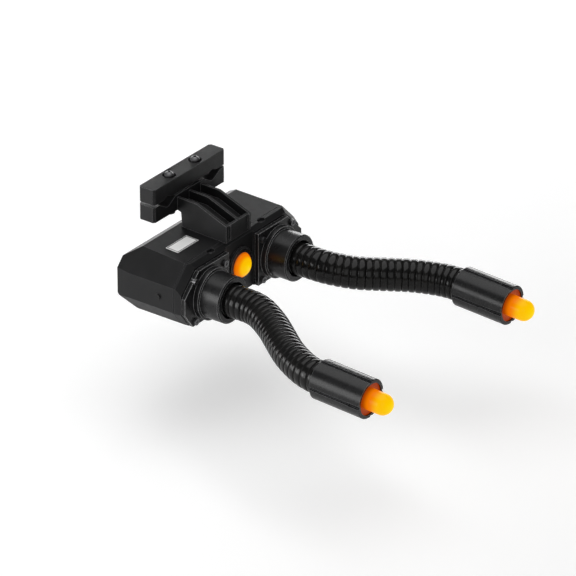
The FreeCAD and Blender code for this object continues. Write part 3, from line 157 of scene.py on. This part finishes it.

# Each finish: two colours, the range of its roughness, its grain's scale and height in metres, and the rest,
# which may hold the lighter colour of its painted edge highlight
FINISHES = {
    "housing_plastic": (((0.008, 0.008, 0.0085), (0.01, 0.01, 0.0105), (0.38, 0.46), 2600, 0.00002),
                        {"gleam": 0.25, "edge_highlight": (0.06, 0.06, 0.062)}),
    "clamp_plastic": (((0.009, 0.009, 0.0095), (0.012, 0.012, 0.0125), (0.4, 0.5), 2200, 0.00003),
                      {"gleam": 0.3, "edge_highlight": (0.14, 0.14, 0.145)}),
    "socket_plastic": (((0.01, 0.01, 0.0105), (0.013, 0.013, 0.0135), (0.25, 0.33), 2600, 0.00001),
                       {"gleam": 0.3, "edge_highlight": (0.45, 0.45, 0.455)}),
    "gloss_black": (((0.01, 0.01, 0.0105), (0.013, 0.013, 0.0135), (0.24, 0.3), 900, 0.000005),
                    {"gleam": 0.3, "edge_highlight": (0.12, 0.12, 0.125)}),
    "hose_rubber": (((0.006, 0.006, 0.006), (0.009, 0.0085, 0.008), (0.12, 0.2), 1200, 0.000008),
                    {"gleam": 0.22}),
    "seal_rubber": (((0.01, 0.01, 0.01), (0.015, 0.015, 0.015), (0.6, 0.75), 1500, 0.00002),
                    {"gleam": 0.3}),
    "black_steel": (((0.1, 0.1, 0.104), (0.14, 0.14, 0.145), (0.3, 0.42), 1800, 0.00001),
                    {"metal": 0.9, "edge_highlight": (0.26, 0.26, 0.266)}),
    "screw_steel": (((0.42, 0.42, 0.44), (0.55, 0.55, 0.57), (0.25, 0.4), 1800, 0.00001), {"metal": 1.0}),
    "circuit_board": (((0.02, 0.11, 0.05), (0.03, 0.14, 0.07), (0.3, 0.4), 1200, 0.00001), {}),
    "cell_wrap": (((0.06, 0.16, 0.3), (0.08, 0.2, 0.36), (0.25, 0.35), 1200, 0.00001), {}),
    "reflector_chrome": (((0.8, 0.8, 0.8), (0.86, 0.86, 0.86), (0.06, 0.12), 900, 0.000002), {"metal": 1.0}),
    "amber_resin": (((0.6, 0.2, 0.02), (0.7, 0.26, 0.03), (0.12, 0.2), 900, 0.000002), {}),
}


def camera():
    """The scene's camera, from the photograph's viewing angle."""
    right = Vector((math.cos(AZIMUTH), math.sin(AZIMUTH), 0))
    forward = Vector((-math.sin(AZIMUTH) * math.cos(ELEVATION), math.cos(AZIMUTH) * math.cos(ELEVATION),
                      -math.sin(ELEVATION)))
    up = right.cross(forward)
    data = bpy.data.cameras.new("camera")
    data.lens = CAMERA_LENS
    data.sensor_width = SENSOR_WIDTH
    data.clip_end = VIEW_END
    obj = bpy.data.objects.new("camera", data)
    bpy.context.scene.collection.objects.link(obj)
    place = right * CAMERA_RIGHT - up * CAMERA_DOWN - forward * CAMERA_DISTANCE
    place += Vector((0, 0, CAMERA_RAISE))
    turn = Matrix((right, up, -forward)).transposed().to_4x4()
    obj.matrix_world = Matrix.Translation(place) @ turn
    bpy.context.scene.camera = obj


def new_material(name):
    """An empty node material with its shader."""
    material = bpy.data.materials.new(name)
    material.use_nodes = True
    shader = material.node_tree.nodes["Principled BSDF"]
    return material, material.node_tree, shader


def noise(tree, scale, detail):
    """A noise texture in the object's own coordinates."""
    place = tree.nodes.new("ShaderNodeTexCoord")
    texture = tree.nodes.new("ShaderNodeTexNoise")
    texture.inputs["Scale"].default_value = scale
    texture.inputs["Detail"].default_value = detail
    tree.links.new(place.outputs["Object"], texture.inputs["Vector"])
    return texture.outputs["Fac"]


def ramp(tree, value, low, high):
    """A value turned into a colour between two."""
    node = tree.nodes.new("ShaderNodeValToRGB")
    for stop, position, colour in zip(node.color_ramp.elements, COLOUR_STOPS, (low, high)):
        stop.position = position
        stop.color = (*colour, 1)
    tree.links.new(value, node.inputs["Fac"])
    return node.outputs["Color"]


def spread(tree, value, low, high):
    """A value spread over a range."""
    node = tree.nodes.new("ShaderNodeMapRange")
    node.inputs["From Min"].default_value = GLOSS_STOPS[0]
    node.inputs["From Max"].default_value = GLOSS_STOPS[1]
    node.inputs["To Min"].default_value = low
    node.inputs["To Max"].default_value = high
    tree.links.new(value, node.inputs["Value"])
    return node.outputs["Result"]


def bump(tree, shader, value, height):
    """Small relief on a surface, its height in metres."""
    node = tree.nodes.new("ShaderNodeBump")
    node.inputs["Distance"].default_value = height
    node.inputs["Strength"].default_value = 1.0
    tree.links.new(value, node.inputs["Height"])
    tree.links.new(node.outputs["Normal"], shader.inputs["Normal"])


def edge_highlight_share(tree):
    """How near an outer edge a place is, from 0 on a flat face to 1 at the edge, where a highlight is
    painted.
    """
    rounded = tree.nodes.new("ShaderNodeBevel")
    rounded.samples = EDGE_HIGHLIGHT_SAMPLES
    rounded.inputs["Radius"].default_value = EDGE_HIGHLIGHT_WIDTH
    plain = tree.nodes.new("ShaderNodeNewGeometry")
    same = tree.nodes.new("ShaderNodeVectorMath")
    same.operation = "DOT_PRODUCT"
    tree.links.new(rounded.outputs["Normal"], same.inputs[0])
    tree.links.new(plain.outputs["Normal"], same.inputs[1])
    share = tree.nodes.new("ShaderNodeMapRange")
    share.inputs["From Min"].default_value = EDGE_HIGHLIGHT_BEGINS
    share.inputs["From Max"].default_value = EDGE_HIGHLIGHT_FULL
    tree.links.new(same.outputs["Value"], share.inputs["Value"])
    return share.outputs["Result"]


def mixed(tree, share, first, second):
    """Two colours mixed by a share."""
    node = tree.nodes.new("ShaderNodeMix")
    node.data_type = "RGBA"
    tree.links.new(share, node.inputs["Factor"])
    tree.links.new(first, node.inputs["A"])
    node.inputs["B"].default_value = (*second, 1)
    return node.outputs["Result"]


def surface(name, low, high, rough, grain, height, metal=0.0, gleam=0.5, edge_highlight=None):
    """A moulded or machined surface: a patchy colour, an uneven gloss, a fine grain and a painted highlight
    along its outer edges.
    """
    material, tree, shader = new_material(name)
    colour = ramp(tree, noise(tree, COLOUR_PATCHES, detail=4), low, high)
    # A lighter colour painted along outer edges: a painted highlight where rounded edges would catch the
    # light
    if edge_highlight:
        colour = mixed(tree, edge_highlight_share(tree), colour, edge_highlight)
    tree.links.new(colour, shader.inputs["Base Color"])
    gloss = spread(tree, noise(tree, GLOSS_PATCHES, detail=5), *rough)
    tree.links.new(gloss, shader.inputs["Roughness"])
    shader.inputs["Metallic"].default_value = metal
    shader.inputs["Specular IOR Level"].default_value = gleam
    bump(tree, shader, noise(tree, grain, detail=2), height)
    return material


def lit_lens(name, tip, reach):
    """Amber plastic lit from inside: yellow at its tip and deeper orange with the distance from it."""
    material, tree, shader = new_material(name)
    place = tree.nodes.new("ShaderNodeTexCoord")
    away = tree.nodes.new("ShaderNodeVectorMath")
    away.operation = "DISTANCE"
    away.inputs[1].default_value = tip
    tree.links.new(place.outputs["Object"], away.inputs[0])
    share = tree.nodes.new("ShaderNodeMapRange")
    share.inputs["From Max"].default_value = reach
    tree.links.new(away.outputs["Value"], share.inputs["Value"])
    glow = tree.nodes.new("ShaderNodeValToRGB")
    glow.color_ramp.interpolation = "EASE"
    for _ in GLOW[2:]:
        glow.color_ramp.elements.new(0.5)
    for stop, (position, colour) in zip(glow.color_ramp.elements, GLOW):
        stop.position = position
        stop.color = (*colour, 1)
    tree.links.new(share.outputs["Result"], glow.inputs["Fac"])
    tree.links.new(glow.outputs["Color"], shader.inputs["Emission Color"])
    plastic = ramp(tree, noise(tree, LENS_COLOUR_PATCHES, detail=2), *LENS_COLOURS)
    tree.links.new(plastic, shader.inputs["Base Color"])
    shader.inputs["Emission Strength"].default_value = GLOW_STRENGTH
    gloss = spread(tree, noise(tree, LENS_GLOSS_PATCHES, detail=3), *LENS_ROUGHNESS)
    tree.links.new(gloss, shader.inputs["Roughness"])
    shader.inputs["Specular IOR Level"].default_value = LENS_GLEAM
    return material


def bordered_plate(name, corners):
    """White plastic with a thin dark line a little inside the plate's edge."""
    material = surface(name, *PLATE)
    tree = material.node_tree
    shader = tree.nodes["Principled BSDF"]
    white = shader.inputs["Base Color"].links[0].from_socket
    low, high = corners
    place = tree.nodes.new("ShaderNodeTexCoord")
    steps = [("SUBTRACT", [(a + b) / 2 for a, b in zip(low, high)]), ("ABSOLUTE", None),
             ("SUBTRACT", [(b - a) / 2 for a, b in zip(low, high)]), ("ABSOLUTE", None)]
    value = place.outputs["Object"]
    for operation, amount in steps:
        node = tree.nodes.new("ShaderNodeVectorMath")
        node.operation = operation
        tree.links.new(value, node.inputs[0])
        if amount:
            node.inputs[1].default_value = amount
        value = node.outputs["Vector"]
    parts = tree.nodes.new("ShaderNodeSeparateXYZ")
    tree.links.new(value, parts.inputs["Vector"])
    nearest = tree.nodes.new("ShaderNodeMath")
    nearest.operation = "MINIMUM"
    tree.links.new(parts.outputs["X"], nearest.inputs[0])
    tree.links.new(parts.outputs["Y"], nearest.inputs[1])
    line = tree.nodes.new("ShaderNodeMath")
    line.operation = "COMPARE"
    line.inputs[1].default_value = BORDER_INSET
    line.inputs[2].default_value = BORDER_HALF_WIDTH
    tree.links.new(nearest.outputs["Value"], line.inputs[0])
    bordered = mixed(tree, line.outputs["Value"], white, BORDER_COLOUR)
    tree.links.new(bordered, shader.inputs["Base Color"])
    return material


def dress(name, material):
    """Gives a CAD node its finish."""
    for place in nodes[name].material_slots:
        place.link = "OBJECT"
        place.material = material


def smooth_shading():
    """A node tree that shades every face smooth, for a modifier."""
    tree = bpy.data.node_groups.new("smooth_shading", "GeometryNodeTree")
    for way in ("INPUT", "OUTPUT"):
        tree.interface.new_socket("Geometry", in_out=way, socket_type="NodeSocketGeometry")
    shade = tree.nodes.new("GeometryNodeSetShadeSmooth")
    tree.links.new(tree.nodes.new("NodeGroupInput").outputs["Geometry"], shade.inputs["Geometry"])
    tree.links.new(shade.outputs["Geometry"], tree.nodes.new("NodeGroupOutput").inputs["Geometry"])
    return tree


def soften(name, shading):
    """Small rounded edges on a CAD node, by modifiers that leave its own mesh as it is."""
    obj = nodes[name]
    smooth = obj.modifiers.new("smooth", "NODES")
    smooth.node_group = shading
    weld = obj.modifiers.new("weld", "WELD")
    weld.merge_threshold = SAME_PLACE
    bevel = obj.modifiers.new("bevel", "BEVEL")
    bevel.width = ROUNDING
    bevel.segments = ROUNDING_STEPS
    bevel.limit_method = "ANGLE"
    bevel.angle_limit = ROUNDING_ANGLE
    normals = obj.modifiers.new("normals", "WEIGHTED_NORMAL")
    normals.weight = LARGE_FACE_WEIGHT


class Route:
    """The arm's centre line: straight runs joined by tangent arcs, measured from its start."""

    def __init__(self, points, share):
        corners = [Vector(p) for p in points]
        self.pieces = []
        here = corners[0]
        for before, corner, after in zip(corners, corners[1:], corners[2:]):
            arriving = (corner - before).normalized()
            leaving = (after - corner).normalized()
            turn = arriving.angle(leaving)
            reach = share * min((corner - before).length, (after - corner).length)
            radius = reach / math.tan(turn / 2)
            start = corner - arriving * reach
            self.pieces.append(((start - here).length, here, arriving, None, None, None))
            inward = (leaving - arriving * arriving.dot(leaving)).normalized()
            self.pieces.append((radius * turn, None, arriving, start + inward * radius, inward, radius))
            here = corner + leaving * reach
        rest = corners[-1] - here
        self.pieces.append((rest.length, here, rest.normalized(), None, None, None))
        self.length = sum(piece[0] for piece in self.pieces)

    def at(self, distance):
        """The point and the direction at a distance from the start."""
        left = distance
        for length, start, arriving, centre, inward, radius in self.pieces[:-1]:
            if left <= length:
                break
            left -= length
        else:
            length, start, arriving, centre, inward, radius = self.pieces[-1]
        if centre is None:
            return start + arriving * left, arriving
        angle = left / radius
        point = centre + (arriving * math.sin(angle) - inward * math.cos(angle)) * radius
        return point, arriving * math.cos(angle) + inward * math.sin(angle)


def head_point(depth):
    """A place on the right lamp head's axis, in millimetres from its rear face."""
    x, y, z = ROUTE_BENDS[-1]
    rear = Vector((x, HEAD_REAR_Y, z + (HEAD_REAR_Y - y) * math.tan(HEAD_DROOP)))
    return rear + Vector((0, -math.cos(HEAD_DROOP), -math.sin(HEAD_DROOP))) * depth


ROUTE = Route([ROUTE_START, *ROUTE_BENDS, head_point(HEAD_PLUG)], ROUTE_SHARE)


def rib_stations(first, last):
    """Distance and radius of the rings of a stretch of ribs."""
    shape = [(0.0, 0.0), *RIB_FLANK, (0.5, 1.0), *[(1 - t, h) for t, h in reversed(RIB_FLANK)]]
    depth = HOSE_RADIUS - HOSE_GROOVE
    stations = []
    for rib in range(first, last):
        stations += [((rib + t) * RIB_PITCH, HOSE_GROOVE + depth * h) for t, h in shape]
    stations.append((last * RIB_PITCH, HOSE_GROOVE))
    return stations


def hose_ring(mesh, sign, distance, radius):
    """A ring of vertices round the route."""
    point, along = ROUTE.at(min(distance, ROUTE.length))
    level = along.cross(Vector((0, 0, 1))).normalized()
    up = level.cross(along)
    ring = []
    for i in range(RIB_SIDES):
        turn = 2 * math.pi * i / RIB_SIDES
        place = point + (level * math.cos(turn) + up * math.sin(turn)) * radius
        ring.append(mesh.verts.new((sign * place.x * MM, place.y * MM, place.z * MM)))
    return ring


def hose_piece(side, index, first, last, hinge, reach, links, material):
    """A stretch of ribbed hose along the arm's route, between two of its ribs."""
    sign = 1 if side == "right" else -1
    mesh = bmesh.new()
    rings = [hose_ring(mesh, sign, s, r) for s, r in rib_stations(first, last)]
    steps = max(2, (last - first) // 2)
    ends = (first * RIB_PITCH, last * RIB_PITCH)
    back = [ends[1] + (ends[0] - ends[1]) * i / steps for i in range(steps + 1)]
    bore = [hose_ring(mesh, sign, s, HOSE_BORE) for s in back]
    loop = rings + bore
    flat = (len(rings) - 1, len(loop) - 1)
    for i, ring in enumerate(loop):
        after = loop[(i + 1) % len(loop)]
        for j in range(RIB_SIDES):
            k = (j + 1) % RIB_SIDES
            face = mesh.faces.new((ring[j], ring[k], after[k], after[j]))
            face.smooth = i not in flat
    bmesh.ops.recalc_face_normals(mesh, faces=mesh.faces)
    data = bpy.data.meshes.new(f"{side}_ribbed_hose_{index}")
    mesh.to_mesh(data)
    mesh.free()
    data.materials.append(material)
    obj = bpy.data.objects.new(data.name, data)
    bpy.context.scene.collection.objects.link(obj)
    place, along = ROUTE.at(hinge)
    start, end = [place + along * d for d in reach]
    start, end = [Vector((sign * p.x, p.y, p.z)) * MM for p in (start, end)]
    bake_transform(obj)
    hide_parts(*[f"{side}_hose_link_{n}" for n in links])


def arms(material):
    """Both ribbed arms, in four stretches each."""
    for side in ("left", "right"):
        first = 0
        for i, (end, hinge, reach, links) in enumerate(STRETCHES):
            last = end or int(ROUTE.length / RIB_PITCH)
            hose_piece(side, i + 1, first, last, hinge, reach, links, material)
            first = last


def stage():
    """A plain pale floor, soft lamps and a white surround."""
    size = FLOOR_HALF_SIZE
    data = bpy.data.meshes.new("floor")
    level = cad_low.z - FLOOR_DROP
    corners = [(-size, -size, level), (size, -size, level), (size, size, level), (-size, size, level)]
    data.from_pydata(corners, [], [(0, 1, 2, 3)])
    floor = bpy.data.objects.new("floor", data)
    bpy.context.scene.collection.objects.link(floor)
    material, tree, shader = new_material("floor_paint")
    paint = ramp(tree, noise(tree, FLOOR_PATCHES, detail=2), *FLOOR_PAINT)
    tree.links.new(paint, shader.inputs["Base Color"])
    shader.inputs["Roughness"].default_value = FLOOR_ROUGHNESS
    shader.inputs["Specular IOR Level"].default_value = FLOOR_GLEAM
    seen = tree.nodes.new("ShaderNodeLightPath")
    white = spread(tree, seen.outputs["Is Camera Ray"], 0.0, FLOOR_GLOW)
    shader.inputs["Emission Color"].default_value = (1, 1, 1, 1)
    tree.links.new(white, shader.inputs["Emission Strength"])
    data.materials.append(material)
    floor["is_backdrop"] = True
    world = bpy.data.worlds.new("surround")
    bpy.context.scene.world = world
    world.use_nodes = True
    sky = world.node_tree.nodes["Background"]
    sky.inputs["Color"].default_value = (1, 1, 1, 1)
    sky.inputs["Strength"].default_value = SURROUND
    for name, place, sides, power in LAMPS:
        lamp = bpy.data.lights.new(name, "AREA")
        lamp.shape = "RECTANGLE"
        lamp.size, lamp.size_y = sides
        lamp.energy = power
        obj = bpy.data.objects.new(name, lamp)
        bpy.context.scene.collection.objects.link(obj)
        obj.location = place
        obj.visible_camera = False
        obj.rotation_mode = "QUATERNION"
        obj.rotation_quaternion = (LAMP_AIM - Vector(place)).to_track_quat("-Z", "Y")


camera()
stage()
finishes = {name: surface(name, *look, **extra) for name, (look, extra) in FINISHES.items()}
finishes["plate_plastic"] = bordered_plate("plate_plastic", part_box("label_plate"))
finishes["insert_brass"] = finishes["black_steel"]
finishes["amber_lens"] = finishes["amber_resin"]
slots = {part["node"]: part["material_slot"] for part in frame["record"]["subparts"]}
for node_name, slot_name in slots.items():
    dress(node_name, finishes[slot_name])
low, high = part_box("centre_lens")
dress("centre_lens", lit_lens("amber_centre", (0, low[1], (low[2] + high[2]) / 2), CENTRE_REACH))
for side, sign in (("left", -1), ("right", 1)):
    tip = head_point(LENS_TIP) * MM
    dress(f"{side}_head_lens", lit_lens(f"amber_{side}", (sign * tip.x, tip.y, tip.z), HEAD_REACH))
    dress(f"{side}_socket", finishes["socket_plastic"])
shading = smooth_shading()
for node_name in ("housing_shell", "rear_cover", "bracket", "clamp_top_bar", "left_socket", "right_socket"):
    soften(node_name, shading)
arms(finishes["hose_rubber"])

bpy.context.scene.view_settings.view_transform = "Standard"
low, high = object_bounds()
